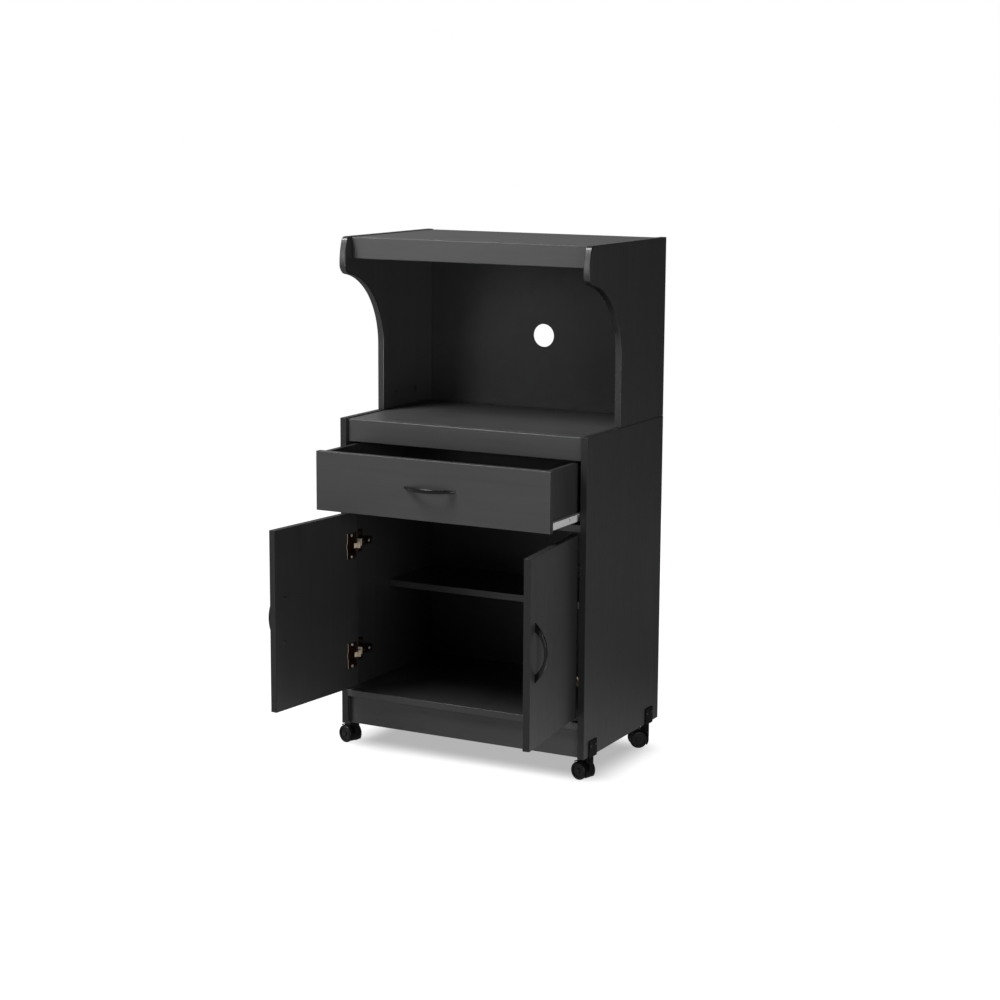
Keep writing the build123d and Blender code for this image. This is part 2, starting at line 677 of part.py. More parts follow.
# Cabinet tracks: a channel on each side panel, with a roller at the front
track_skin = -inner + RUNNER_STEEL
track_back = track_front + TRACK_LENGTH
track_roller_y = track_front + ROLLER_FROM_END
track_roller_x = track_skin + ROLLER_SIDE_PLAY
with BuildPart() as runner_tracks:
    slab((-inner, track_front, track_low), (track_skin, track_back, track_high))
    for low in (track_low, track_high - RUNNER_STEEL):
        slab((-inner, track_front, low), (-inner + TRACK_FLANGE, track_back, low + RUNNER_STEEL))
    rod(
        (track_skin, track_roller_y, track_roller_z),
        RIGHTWARD,
        ROLLER_PIN_RADIUS,
        ROLLER_SIDE_PLAY + ROLLER_WIDTH,
    )
    for screw_y in track_screw_places:
        bore((-inner, screw_y, track_screw_z), RIGHTWARD, SCREW_RADIUS + SCREW_PLAY, RUNNER_STEEL)
    mirror(about=Plane.YZ)
save(runner_tracks.part, "runner_tracks")


def rollers(start, direction):
    """A pair of plastic rollers on one axis, one at each side of the drawer."""
    with BuildPart() as pair:
        rod(start, direction, ROLLER_RADIUS, ROLLER_WIDTH)
        bore(start, direction, ROLLER_PIN_RADIUS + ROLLER_FIT, ROLLER_WIDTH)
        mirror(about=Plane.YZ)
    return pair.part


save(rollers((track_roller_x, track_roller_y, track_roller_z), RIGHTWARD), "track_rollers")
save(rollers((drawer_roller_x, drawer_roller_y, drawer_roller_z), LEFTWARD), "drawer_rollers")

# Doors, drawn shut on the left and then swung open about the hinge axis
door_edge = -inner + DOOR_GAP_SIDE
door_free = -DOOR_GAP_MIDDLE / 2
door_inside = front + BOARD
cup_x = door_edge + CUP_FROM_EDGE
flange_face = door_inside + FLANGE_THICKNESS
cup_outside = CUP_RADIUS - CUP_PLAY
cup_length = FLANGE_THICKNESS + CUP_DEPTH - CUP_PLAY
cup_screw_places = [z + end * CUP_SCREW_SPREAD / 2 for z in hinge_heights for end in (-1, 1)]
door_handle_base = Plane(
    origin=(door_free - HANDLE_FROM_EDGE, front, (door_low + door_high) / 2), x_dir=UP, z_dir=RIGHTWARD
)

with BuildPart() as door:
    slab((door_edge, front, door_low), (door_free, door_inside, door_high))
    for z in hinge_heights:
        bore((cup_x, door_inside, z), FRONTWARD, CUP_RADIUS, CUP_DEPTH)
    for z in cup_screw_places:
        bore((cup_x, door_inside, z), FRONTWARD, SCREW_RADIUS + SCREW_PLAY, SCREW_LENGTH)
    bore_handle_holes(door_handle_base)

with BuildPart() as hinge_cups:
    for z in hinge_heights:
        slab(
            (cup_x - FLANGE_NEAR, door_inside, z - FLANGE_HEIGHT / 2),
            (cup_x + FLANGE_FAR, flange_face, z + FLANGE_HEIGHT / 2),
        )
        rod((cup_x, flange_face, z), FRONTWARD, cup_outside, cup_length)
        bore((cup_x, flange_face, z), FRONTWARD, cup_outside - CUP_WALL, cup_length - CUP_WALL)
    for z in cup_screw_places:
        bore((cup_x, flange_face, z), FRONTWARD, SCREW_RADIUS + SCREW_PLAY, FLANGE_THICKNESS)

with BuildPart() as cup_screws:
    for z in cup_screw_places:
        screw((cup_x, flange_face, z), FRONTWARD, FLANGE_THICKNESS + SCREW_LENGTH)

link_radii = (ARM_INNER_RADIUS + LINK_PLAY, ARM_INNER_RADIUS + LINK_PLAY + LINK_THICKNESS)
link_angles = (LINK_FIRST_ANGLE, LINK_LAST_ANGLE)
with BuildPart() as hinge_links:
    for z in hinge_heights:
        ring_sector(Plane((hinge_x, hinge_y, z)), link_radii, link_angles, LINK_WIDTH)

door_pieces = {
    "door": door.part,
    "hinge_cups": hinge_cups.part,
    "cup_screws": cup_screws.part,
    "door_handle": bow_handle(door_handle_base),
    "door_handle_screws": handle_screws(door_handle_base),
}
for side, opening in (("left", LEFT_DOOR_OPEN), ("right", RIGHT_DOOR_OPEN)):
    turns = {name: opening for name in door_pieces} | {"hinge_links": opening / 2}
    for name, piece in (door_pieces | {"hinge_links": hinge_links.part}).items():
        swung = piece.rotate(Axis((hinge_x, hinge_y, 0), UP), -turns[name])
        if side == "right":
            swung = swung.mirror(Plane.YZ)
        save(swung, f"{side}_{name}")

# Hinge plates on the side panels, and the arms clipped on them that reach into the cups
plate_y = front + PLATE_LINE
saddle_face = -inner + PLATE_RISE
with BuildPart() as hinge_plates:
    for z in hinge_heights:
        slab(
            (-inner, plate_y - PLATE_WIDTH / 2, z - PLATE_HEIGHT / 2),
            (-inner + PLATE_WING, plate_y + PLATE_WIDTH / 2, z + PLATE_HEIGHT / 2),
        )
        slab(
            (-inner, plate_y - PLATE_SADDLE_LENGTH / 2, z - PLATE_SADDLE_WIDTH / 2),
            (saddle_face, plate_y + PLATE_SADDLE_LENGTH / 2, z + PLATE_SADDLE_WIDTH / 2),
        )
    for screw_y, screw_z in plate_screw_places:
        bore((-inner, screw_y, screw_z), RIGHTWARD, SCREW_RADIUS + SCREW_PLAY, PLATE_WING)
    mirror(about=Plane.YZ)
save(hinge_plates.part, "hinge_plates")

slot_radius = link_radii[1] + LINK_PLAY
slot_width = LINK_WIDTH + 2 * LINK_PLAY
arm_width = slot_width + 2 * ARM_STEEL
arm_angles = (ARM_FIRST_ANGLE, ARM_LAST_ANGLE)
arm_front = hinge_y + slot_radius
with BuildPart() as hinge_arms:
    for z in hinge_heights:
        axis_plane = Plane((hinge_x, hinge_y, z))
        ring_sector(axis_plane, (ARM_INNER_RADIUS, slot_radius + ARM_STEEL), arm_angles, arm_width)
        slab(
            (saddle_face, arm_front, z - arm_width / 2),
            (saddle_face + ARM_HEIGHT, arm_front + ARM_LENGTH, z + arm_width / 2),
        )
        channel = (ARM_INNER_RADIUS - LINK_PLAY, slot_radius)
        ring_sector(axis_plane, channel, (0, 180), slot_width, mode=Mode.SUBTRACT)
    mirror(about=Plane.YZ)
save(hinge_arms.part, "hinge_arms")

# Screws that hold hinge plates, tracks and caster brackets to the side panels
with BuildPart() as fitting_screws:
    for screw_y, screw_z in plate_screw_places:
        screw((-inner + PLATE_WING, screw_y, screw_z), LEFTWARD, PLATE_WING + SCREW_LENGTH)
    for screw_y in track_screw_places:
        screw((track_skin, screw_y, track_screw_z), LEFTWARD, RUNNER_STEEL + SCREW_LENGTH)
    for screw_y, screw_z in bracket_screw_places:
        screw((-half - BRACKET_PLATE, screw_y, screw_z), RIGHTWARD, BRACKET_PLATE + SCREW_LENGTH)
    mirror(about=Plane.YZ)
save(fitting_screws.part, "fitting_screws")

# Caster brackets: a foot under the panel's edge, a plate up its outside and a socket for the stem
bracket_low = panel_low - BRACKET_FOOT
with BuildPart() as caster_brackets:
    for y in stem_places:
        side_low = (-half - BRACKET_PLATE, y - BRACKET_WIDTH / 2, bracket_low)
        slab(side_low, (-inner, y + BRACKET_WIDTH / 2, panel_low))
        slab(side_low, (-half, y + BRACKET_WIDTH / 2, panel_low + BRACKET_HEIGHT))
        rod((panel_middle, y, bracket_low), UP, SOCKET_RADIUS, BRACKET_FOOT + SOCKET_DEPTH)
        bore((panel_middle, y, bracket_low), UP, STEM_RADIUS + STEM_FIT, BRACKET_FOOT + SOCKET_DEPTH)
    for screw_y, screw_z in bracket_screw_places:
        bore((-half, screw_y, screw_z), LEFTWARD, SCREW_RADIUS + SCREW_PLAY, BRACKET_PLATE)
    mirror(about=Plane.YZ)
save(caster_brackets.part, "caster_brackets")

# One caster, drawn round its stem with the wheels trailing along +X
axle_plane = Plane((CASTER_TRAIL, 0, WHEEL_RADIUS), x_dir=RIGHTWARD, z_dir=FRONTWARD)
boss_high = bracket_low - SWIVEL_PLAY
wheel_inside = WEB_WIDTH / 2 + WHEEL_PLAY
wheel_outside = wheel_inside + WHEEL_WIDTH
axle_reach = wheel_outside - WHEEL_DISH - WHEEL_CAP
fender_radii = (WHEEL_RADIUS + FENDER_PLAY, WHEEL_RADIUS + FENDER_PLAY + FENDER_THICKNESS)
fender_angles = (FENDER_FIRST_ANGLE, FENDER_LAST_ANGLE)
with BuildPart() as caster_hood:
    rod((CASTER_TRAIL, WEB_WIDTH / 2, WHEEL_RADIUS), FRONTWARD, WEB_RADIUS, WEB_WIDTH)
    ring_sector(axle_plane, (AXLE_RADIUS, fender_radii[1]), fender_angles, WEB_WIDTH)
    ring_sector(axle_plane, fender_radii, fender_angles, 2 * wheel_outside)
    slab((-BOSS_RADIUS, -WEB_WIDTH / 2, STEM_SEAT - STEM_FLOOR), (BOSS_RADIUS, WEB_WIDTH / 2, boss_high))
    rod((0, 0, boss_high), DOWN, BOSS_RADIUS, BOSS_HEIGHT)
    bore((0, 0, boss_high), DOWN, STEM_RADIUS + PRESS_PLAY, boss_high - STEM_SEAT)
    bore((CASTER_TRAIL, WEB_WIDTH / 2, WHEEL_RADIUS), FRONTWARD, AXLE_RADIUS + PRESS_PLAY, WEB_WIDTH)

with BuildPart() as caster_pins:
    rod((0, 0, STEM_SEAT), UP, STEM_RADIUS, panel_low + STEM_GRIP - STEM_SEAT)
    rod((CASTER_TRAIL, axle_reach, WHEEL_RADIUS), FRONTWARD, AXLE_RADIUS, 2 * axle_reach)

with BuildPart() as caster_wheels:
    hub = (CASTER_TRAIL, wheel_inside, WHEEL_RADIUS)
    face = (CASTER_TRAIL, wheel_outside, WHEEL_RADIUS)
    rod(hub, BACKWARD, WHEEL_RADIUS, WHEEL_WIDTH)
    fillet(caster_wheels.edges().filter_by(GeomType.CIRCLE), radius=WHEEL_ROUND)
    bore(face, FRONTWARD, WHEEL_DISH_RADIUS, WHEEL_DISH)
    rod(face, FRONTWARD, WHEEL_HUB_RADIUS, WHEEL_DISH)
    bore(hub, BACKWARD, AXLE_RADIUS + AXLE_FIT, axle_reach - wheel_inside + AXLE_FIT)
    mirror(about=Plane.XZ)

caster_pieces = {
    "caster_hood": caster_hood.part,
    "caster_pins": caster_pins.part,
    "caster_wheels": caster_wheels.part,
}
for corner, turn in CASTER_TURNS.items():
    stem_y = stem_places[0] if corner.startswith("front") else stem_places[1]
    side = -1 if corner.endswith("left") else 1
    place = Location((-side * panel_middle, stem_y, 0), (0, 0, -90 - turn))
    for name, piece in caster_pieces.items():
        save(piece.moved(place), f"{corner}_{name}")
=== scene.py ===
"""Looks of a black kitchen cabinet on casters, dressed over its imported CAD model.

Lengths are metres in the part's own frame: +X to the right, +Y to the back, +Z up, floor at zero.
"""
import json
import math

import bmesh
import bpy
import numpy as np
from mathutils import Matrix, Vector


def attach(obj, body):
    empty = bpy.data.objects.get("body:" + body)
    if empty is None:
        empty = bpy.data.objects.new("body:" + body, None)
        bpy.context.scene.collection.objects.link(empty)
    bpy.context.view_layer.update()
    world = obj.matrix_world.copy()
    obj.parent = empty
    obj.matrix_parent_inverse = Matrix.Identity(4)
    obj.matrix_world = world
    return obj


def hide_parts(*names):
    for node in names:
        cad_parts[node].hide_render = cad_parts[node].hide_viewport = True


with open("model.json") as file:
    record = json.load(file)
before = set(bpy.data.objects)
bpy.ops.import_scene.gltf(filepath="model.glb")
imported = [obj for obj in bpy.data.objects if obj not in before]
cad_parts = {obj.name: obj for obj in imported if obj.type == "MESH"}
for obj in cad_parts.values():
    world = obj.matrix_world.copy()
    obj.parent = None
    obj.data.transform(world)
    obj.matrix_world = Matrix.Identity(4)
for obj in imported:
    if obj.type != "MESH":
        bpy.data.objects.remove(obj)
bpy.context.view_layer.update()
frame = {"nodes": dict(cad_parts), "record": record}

# Eased edges, and the smallest outlines that are eased on boards, fittings, hoods and brackets
BOARD_EASE = 0.0007
FASCIA_EASE = 0.0016
NOSE_EASE = 0.0026
STEEL_EASE = 0.0004
PLASTIC_EASE = 0.0009
EASE_STEPS = 3
BOARD_OUTLINE = 0.045
FITTING_OUTLINE = 0.006
HOOD_OUTLINE = 0.014
BRACKET_OUTLINE = 0.02

# Corners joined within this reach, turns in radians, and how square to X a broad face is
WELD_REACH = 1e-6
FLAT_TURN = 0.01
SHARP_TURN = math.radians(50)
SMOOTH_TURN = math.radians(18)
BROAD_FACE = 0.97

# Caster fenders, half their width
FENDER_HALF = 0.0142

# Hinge cups and arms: heights, reach of the painted highlight on the flange rims, arm face, and where the painted
# shade on the arms starts
HINGE_HEIGHTS = (0.219, 0.4655)
RIM_REACH = 0.0045
ARM_FACE = 0.2665
ARM_PAINTED_SHADE_START = -0.160

# Adjusting screws: places along Y, then head radius, head height, shank radius and shank length
ADJUSTER_PLACES = (-0.130, -0.152)
ADJUSTER_SIZE = (0.0034, 0.0011, 0.0018, 0.002)

# Cross-head screws: shares of the head's radius and height up its dome, and of its cross recess
SCREW_STEPS = 20
SHANK_TIP = 0.5
HEAD_DOME = ((1.0, 0.45), (0.93, 0.72), (0.80, 0.92), (0.62, 1.0))
CROSS_ARM = 0.5
CROSS_SLIT = 0.11
PIT_TAPER = 0.75
PIT_HEIGHT = 0.25
HEAD_RIM = 0.9
TIP_REACH = 1e-5

# Fitting screws below this height are blackened
RUNNER_LOW = 0.55

# Grain stretch along the board, gloss and relief of the finishes
UPRIGHT_GRAIN = (45.0, 45.0, 3.0)
LYING_GRAIN = (3.0, 45.0, 45.0)
EVEN_GRAIN = (30.0, 30.0, 30.0)
BOARD_BLUE = 0.001
BOARD_GLOSS = 0.39
BOARD_RELIEF = 0.00006
STRIP_RELIEF = 0.000006
MOULDED_RELIEF = 0.00002
PLATED_RELIEF = 0.000004

# Camera as in the photograph
CAMERA_PLACE = (2.248902, -4.276081, 1.420602)
CAMERA_YAW = 0.485172
CAMERA_PITCH = 0.176356
CAMERA_ROLL = 0.006163
CAMERA_LENS = 79.7229
CAMERA_SENSOR = 36.0
CAMERA_REACH = 60.0

# Studio: light from all round and as mirrored, its share to the right, and the white floor with a painted shade
# under the cabinet on top of its cast shadow
STUDIO_MIDDLE = Vector((0.0, -0.1, 0.6))
AMBIENT = 0.10
MIRRORED = 0.31
RIGHT_SHARE = 0.0
DIMMING_TURN = 0.5
FLOOR_SIZE = 60.0
FLOOR_SHADE = 0.10
FLOOR_ROUGHNESS = 0.9
# Floor glow under the cabinet, below white: a painted shade
PAINTED_SHADE_GLOW = 0.43
FLOOR_MIRRORED = (0.76, 0.08)
MIRROR_REACH = (-0.6, 0.75)
FOOTPRINT_HALF = (0.25, 0.10, 0.0)
FOOTPRINT_FADE = 0.11


# Shader tools
def place(tree, kind, **settings):
    """A node with its attributes set."""
    node = tree.nodes.new(kind)
    for name, value in settings.items():
        setattr(node, name, value)
    return node


def feed(tree, target, source):
    """Links an output into a socket, or writes a plain value there."""
    if isinstance(source, bpy.types.NodeSocket):
        tree.links.new(source, target)
    else:
        target.default_value = source


def math_of(tree, operation, first, second=0.0):
    """Result of a sum, product or other operation on two values."""
    node = place(tree, "ShaderNodeMath", operation=operation)
    feed(tree, node.inputs[0], first)
    feed(tree, node.inputs[1], second)
    return node.outputs[0]


def vector_of(tree, operation, first, second=(0.0, 0.0, 0.0), output="Vector"):
    """Result of an operation on two vectors."""
    node = place(tree, "ShaderNodeVectorMath", operation=operation)
    feed(tree, node.inputs[0], first)
    feed(tree, node.inputs[1], second)
    return node.outputs[output]


def noise(tree, vector, scale, detail=4.0, roughness=0.55, distortion=0.0):
    """Soft random pattern from 0 to 1."""
    node = place(tree, "ShaderNodeTexNoise")
    feed(tree, node.inputs["Vector"], vector)
    feed(tree, node.inputs["Scale"], scale)
    feed(tree, node.inputs["Detail"], detail)
    feed(tree, node.inputs["Roughness"], roughness)
    feed(tree, node.inputs["Distortion"], distortion)
    return node.outputs["Fac"]


def ramp(tree, value, low, high, to_low=0.0, to_high=1.0, curve="LINEAR"):
    """Stretches a range of values over another, clamped at both ends."""
    node = place(tree, "ShaderNodeMapRange", clamp=True, interpolation_type=curve)
    for socket, given in zip(node.inputs, (value, low, high, to_low, to_high)):
        feed(tree, socket, given)
    return node.outputs["Result"]


def mixed(tree, share, first, second):
    """Colour between two colours."""
    node = place(tree, "ShaderNodeMix", data_type="RGBA")
    sockets = [socket for socket in node.inputs if socket.enabled]
    for socket, given in zip(sockets, (share, first, second)):
        feed(tree, socket, given)
    return next(socket for socket in node.outputs if socket.enabled)


def new_group(name, inputs, outputs):
    """Empty shader node group with its named sockets."""
    group = bpy.data.node_groups.new(name, "ShaderNodeTree")
    for socket, kind, value in inputs:
        made = group.interface.new_socket(socket, in_out="INPUT", socket_type=kind)
        made.default_value = value
    for socket, kind in outputs:
        group.interface.new_socket(socket, in_out="OUTPUT", socket_type=kind)
    return group, group.nodes.new("NodeGroupInput").outputs, group.nodes.new("NodeGroupOutput").inputs


def laminate_grain_group():
    """Wood-embossed melamine face: long soft grain, short pores and a faint cloudiness."""
    group, given, out = new_group(
        "laminate_grain",
        [
            ("Stretch", "NodeSocketVector", (45.0, 45.0, 3.0)),
            ("Ground", "NodeSocketColor", (0.03, 0.03, 0.031, 1.0)),
            ("Grain", "NodeSocketColor", (0.02, 0.02, 0.021, 1.0)),
            ("Gloss", "NodeSocketFloat", 0.42),
        ],
        [("Color", "NodeSocketColor"), ("Roughness", "NodeSocketFloat"), ("Height", "NodeSocketFloat")],
    )
    where = place(group, "ShaderNodeTexCoord").outputs["Object"]
    along = vector_of(group, "MULTIPLY", where, given["Stretch"])
    grain = noise(group, along, 1.0, detail=5.0, roughness=0.6, distortion=0.35)
    pores = ramp(group, noise(group, along, 9.0, detail=2.0, roughness=0.5), 0.60, 0.74)
    clouds = noise(group, where, 3.5, detail=2.0)
    speckle = noise(group, where, 900.0, detail=1.0)
    lines = ramp(group, grain, 0.35, 0.68, 0.0, 0.6)
    tone = math_of(group, "ADD", lines, math_of(group, "MULTIPLY", pores, 0.4))
    shade = mixed(group, tone, given["Ground"], given["Grain"])
    light = ramp(group, clouds, 0.3, 0.7, 0.94, 1.06)
    color = place(group, "ShaderNodeVectorMath", operation="SCALE")
    feed(group, color.inputs[0], shade)
    feed(group, color.inputs["Scale"], light)
    feed(group, out["Color"], color.outputs[0])
    sheen = math_of(group, "ADD", given["Gloss"], ramp(group, clouds, 0.3, 0.7, -0.03, 0.03))
    feed(group, out["Roughness"], math_of(group, "ADD", sheen, math_of(group, "MULTIPLY", pores, 0.12)))
    raised = math_of(group, "MULTIPLY", speckle, 0.35)
    relief = math_of(group, "SUBTRACT", raised, math_of(group, "MULTIPLY", pores, 0.6))
    feed(group, out["Height"], math_of(group, "ADD", relief, math_of(group, "MULTIPLY", grain, 0.3)))
    return group


def moulded_skin_group():
    """Fine spark-eroded skin of moulded plastic, with rubbed patches."""
    group, given, out = new_group(
        "moulded_skin",
        [
            ("Ground", "NodeSocketColor", (0.012, 0.012, 0.012, 1.0)),
            ("Rubbed", "NodeSocketColor", (0.03, 0.03, 0.03, 1.0)),
            ("Gloss", "NodeSocketFloat", 0.45),
        ],
        [("Color", "NodeSocketColor"), ("Roughness", "NodeSocketFloat"), ("Height", "NodeSocketFloat")],
    )
    where = place(group, "ShaderNodeTexCoord").outputs["Object"]
    pits = noise(group, where, 1400.0, detail=2.0)
    patches = ramp(group, noise(group, where, 60.0, detail=5.0, roughness=0.65), 0.52, 0.72)
    worn = math_of(group, "MULTIPLY", patches, 0.5)
    feed(group, out["Color"], mixed(group, worn, given["Ground"], given["Rubbed"]))
    polish = math_of(group, "MULTIPLY", patches, 0.08)
    feed(group, out["Roughness"], math_of(group, "SUBTRACT", given["Gloss"], polish))
    feed(group, out["Height"], pits)
    return group


def plating_group():
    """Plated or cast metal: drawn streaks, tarnish clouds and tiny pits."""
    group, given, out = new_group(
        "plating",
        [
            ("Bright", "NodeSocketColor", (0.62, 0.60, 0.57, 1.0)),
            ("Tarnish", "NodeSocketColor", (0.35, 0.30, 0.25, 1.0)),
            ("Gloss", "NodeSocketFloat", 0.3),
            ("Streak", "NodeSocketVector", (900.0, 900.0, 40.0)),
        ],
        [("Color", "NodeSocketColor"), ("Roughness", "NodeSocketFloat"), ("Height", "NodeSocketFloat")],
    )
    where = place(group, "ShaderNodeTexCoord").outputs["Object"]
    streaks = noise(group, vector_of(group, "MULTIPLY", where, given["Streak"]), 1.0, detail=3.0)
    clouds = ramp(group, noise(group, where, 120.0, detail=4.0, roughness=0.6), 0.48, 0.75)
    dull = math_of(group, "MULTIPLY", clouds, 0.6)
    feed(group, out["Color"], mixed(group, dull, given["Bright"], given["Tarnish"]))
    rough = math_of(group, "ADD", given["Gloss"], ramp(group, streaks, 0.3, 0.7, -0.08, 0.1))
    feed(group, out["Roughness"], math_of(group, "ADD", rough, math_of(group, "MULTIPLY", clouds, 0.12)))
    feed(group, out["Height"], streaks)
    return group


LAMINATE = laminate_grain_group()
SKIN = moulded_skin_group()
PLATING = plating_group()


def finish_of(name, group, values, bump, metallic=0.0, specular=0.5):
    """Material whose colour, roughness and relief come from one of the shared groups."""
    material = bpy.data.materials.new(name)
    material.use_nodes = True
    tree = material.node_tree
    shader = tree.nodes["Principled BSDF"]
    effect = place(tree, "ShaderNodeGroup", node_tree=group)
    for socket, value in values.items():
        effect.inputs[socket].default_value = value
    relief = place(tree, "ShaderNodeBump")
    relief.inputs["Strength"].default_value = 1.0
    relief.inputs["Distance"].default_value = bump
    tree.links.new(effect.outputs["Height"], relief.inputs["Height"])
    tree.links.new(effect.outputs["Color"], shader.inputs["Base Color"])
    tree.links.new(effect.outputs["Roughness"], shader.inputs["Roughness"])
    tree.links.new(relief.outputs["Normal"], shader.inputs["Normal"])
    shader.inputs["Metallic"].default_value = metallic
    shader.inputs["Specular IOR Level"].default_value = specular
    return material


def grey(value, warm=0.0):
    """Neutral colour, or a little warmer than neutral."""
    return (value * (1.0 + warm), value, value * (1.0 - warm), 1.0)


def board_tones(ground, grain):
    """Ground and grain of a dark board, a trace bluer than neutral."""
    return {
        "Ground": (ground, ground, ground + BOARD_BLUE, 1.0),
        "Grain": (grain, grain, grain + BOARD_BLUE, 1.0),
    }


upright_laminate = finish_of(
    "upright_laminate", LAMINATE,
    {"Stretch": UPRIGHT_GRAIN, **board_tones(0.034, 0.024), "Gloss": BOARD_GLOSS},
    bump=BOARD_RELIEF,
)
lying_laminate = finish_of(
    "lying_laminate", LAMINATE,
    {"Stretch": LYING_GRAIN, **board_tones(0.034, 0.024), "Gloss": BOARD_GLOSS},
    bump=BOARD_RELIEF,
)
# Lighter copy of the board laminate for the worktop: painted light on its upward face
painted_light_worktop_laminate = finish_of(
    "painted_light_worktop_laminate", LAMINATE,
    {"Stretch": LYING_GRAIN, **board_tones(0.050, 0.038), "Gloss": BOARD_GLOSS},
    bump=BOARD_RELIEF,
)
gloss_edge_strip = finish_of(
    "gloss_edge_strip", SKIN,
    {"Ground": grey(0.012), "Rubbed": grey(0.018), "Gloss": 0.31},
    bump=STRIP_RELIEF,
)
dull_edge_strip = finish_of(
    "dull_edge_strip", SKIN,
    {"Ground": grey(0.019), "Rubbed": grey(0.026), "Gloss": 0.38},
    bump=STRIP_RELIEF, specular=0.22,
)
hardboard = finish_of(
    "black_hardboard", LAMINATE,
    {"Stretch": EVEN_GRAIN, **board_tones(0.030, 0.023), "Gloss": 0.42},
    bump=0.00005, specular=0.25,
)
white_coat = finish_of(
    "white_coated_steel", SKIN,
    {"Ground": grey(0.80), "Rubbed": grey(0.62), "Gloss": 0.32},
    bump=MOULDED_RELIEF,
)
nylon = finish_of(
    "white_nylon", SKIN,
    {"Ground": grey(0.74, 0.03), "Rubbed": grey(0.55), "Gloss": 0.5},
    bump=MOULDED_RELIEF,
)
handle_gloss = finish_of(
    "gloss_black_handle", SKIN,
    {"Ground": grey(0.003), "Rubbed": grey(0.006), "Gloss": 0.13},
    bump=PLATED_RELIEF, specular=0.22,
)
nickel = finish_of("nickel_plate", PLATING, {}, bump=PLATED_RELIEF, metallic=0.6)
# Pale cream copy of the nickel plating: painted light on the hinge knuckles, links and flange rims
painted_light_nickel = finish_of(
    "painted_light_nickel", PLATING,
    {"Bright": (0.84, 0.72, 0.57, 1.0), "Tarnish": (0.62, 0.47, 0.32, 1.0), "Gloss": 0.42},
    bump=PLATED_RELIEF, metallic=0.2,
)
# Dark brown copy of the nickel plating: painted shade on the hinge cups, plates and the rear of the arms
painted_shade_nickel = finish_of(
    "painted_shade_nickel", PLATING,
    {"Bright": (0.10, 0.055, 0.035, 1.0), "Tarnish": (0.03, 0.016, 0.01, 1.0), "Gloss": 0.4},
    bump=PLATED_RELIEF, metallic=1.0,
)
dark_steel = finish_of(
    "blackened_steel", PLATING,
    {"Bright": grey(0.016), "Tarnish": grey(0.010), "Gloss": 0.45},
    bump=PLATED_RELIEF,
)
zinc = finish_of(
    "cast_zinc", PLATING,
    {"Bright": grey(0.12), "Tarnish": grey(0.06), "Gloss": 0.48, "Streak": (700.0, 700.0, 700.0)},
    bump=0.00001, metallic=1.0,
)
caster_plastic = finish_of(
    "caster_plastic", SKIN,
    {"Ground": grey(0.003), "Rubbed": grey(0.007), "Gloss": 0.55},
    bump=0.00003, specular=0.08,
)
wheel_plastic = finish_of(
    "wheel_plastic", SKIN,
    {"Ground": grey(0.006), "Rubbed": grey(0.018), "Gloss": 0.46},
    bump=MOULDED_RELIEF, specular=0.18,
)

FINISHES = {
    "black_board": upright_laminate,
    "black_hardboard": hardboard,
    "white_coated_steel": white_coat,
    "white_plastic": nylon,
    "handle_metal": handle_gloss,
    "nickel_steel": nickel,
    "zinc_metal": zinc,
    "black_plastic": caster_plastic,
    "wheel_plastic": wheel_plastic,
}
LYING_BOARDS = (
    "bottom_panel", "kick_board", "worktop_fascia", "drawer_rail", "shelf", "top_panel", "top_fascia",
    "drawer_front", "drawer_back",
)
UPRIGHT_BOARDS = (
    "left_side_panel", "right_side_panel", "left_door", "right_door", "left_drawer_side", "right_drawer_side",
)
NOSE_BOARDS = ("left_upper_side_panel", "right_upper_side_panel")
CROSS_SCREWS = (
    "fitting_screws", "drawer_screws", "drawer_handle_screws", "left_cup_screws", "right_cup_screws",
    "left_door_handle_screws", "right_door_handle_screws",
)
DARK_SCREWS = ("drawer_handle_screws", "left_door_handle_screws", "right_door_handle_screws")
HANDLES = ("drawer_handle", "left_door_handle", "right_door_handle")
CORNERS = ("front_left", "front_right", "rear_left", "rear_right")

slot_of = {piece["node"]: piece["material_slot"] for piece in frame["record"]["subparts"]}
joint_of = {joint["name"]: joint for joint in frame["record"]["behaviour"]["joints"]}
body_of = {node: body for body, nodes in frame["record"]["behaviour"]["bodies"].items() for node in nodes}


# Pieces that stand for their CAD nodes
def stand_in(bm, node, *materials):
    """Finished mesh in the place of its CAD node: smooth on curves, crisp at corners, flat on its flats."""
    mesh = bpy.data.meshes.new(f"{node}_piece")
    bm.to_mesh(mesh)
    bm.free()
    mesh.polygons.foreach_set("use_smooth", [True] * len(mesh.polygons))
    mesh.set_sharp_from_angle(angle=SMOOTH_TURN)
    for material in materials:
        mesh.materials.append(material)
    piece = bpy.data.objects.new(f"{node}_piece", mesh)
    bpy.context.scene.collection.objects.link(piece)
    flats = piece.modifiers.new("flat_faces", "WEIGHTED_NORMAL")
    flats.mode = "FACE_AREA"
    flats.keep_sharp = True
    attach(piece, body_of[node])
    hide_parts(node)


def welded(node):
    """The CAD node's own mesh with its corners joined."""
    bm = bmesh.new()
    bm.from_mesh(frame["nodes"][node].data)
    bmesh.ops.remove_doubles(bm, verts=bm.verts, dist=WELD_REACH)
    return bm


def linked_groups(edges):
    """Corners joined by these edges, as one list for each separate chain or solid."""
    beside = {}
    for e in edges:
        first, second = e.verts
        beside.setdefault(first, []).append(second)
        beside.setdefault(second, []).append(first)
    groups, seen = [], set()
    for corner in beside:
        if corner in seen:
            continue
        seen.add(corner)
        group = [corner]
        for reached in group:
            for other in beside[reached]:
                if other not in seen:
                    seen.add(other)
                    group.append(other)
        groups.append(group)
    return groups


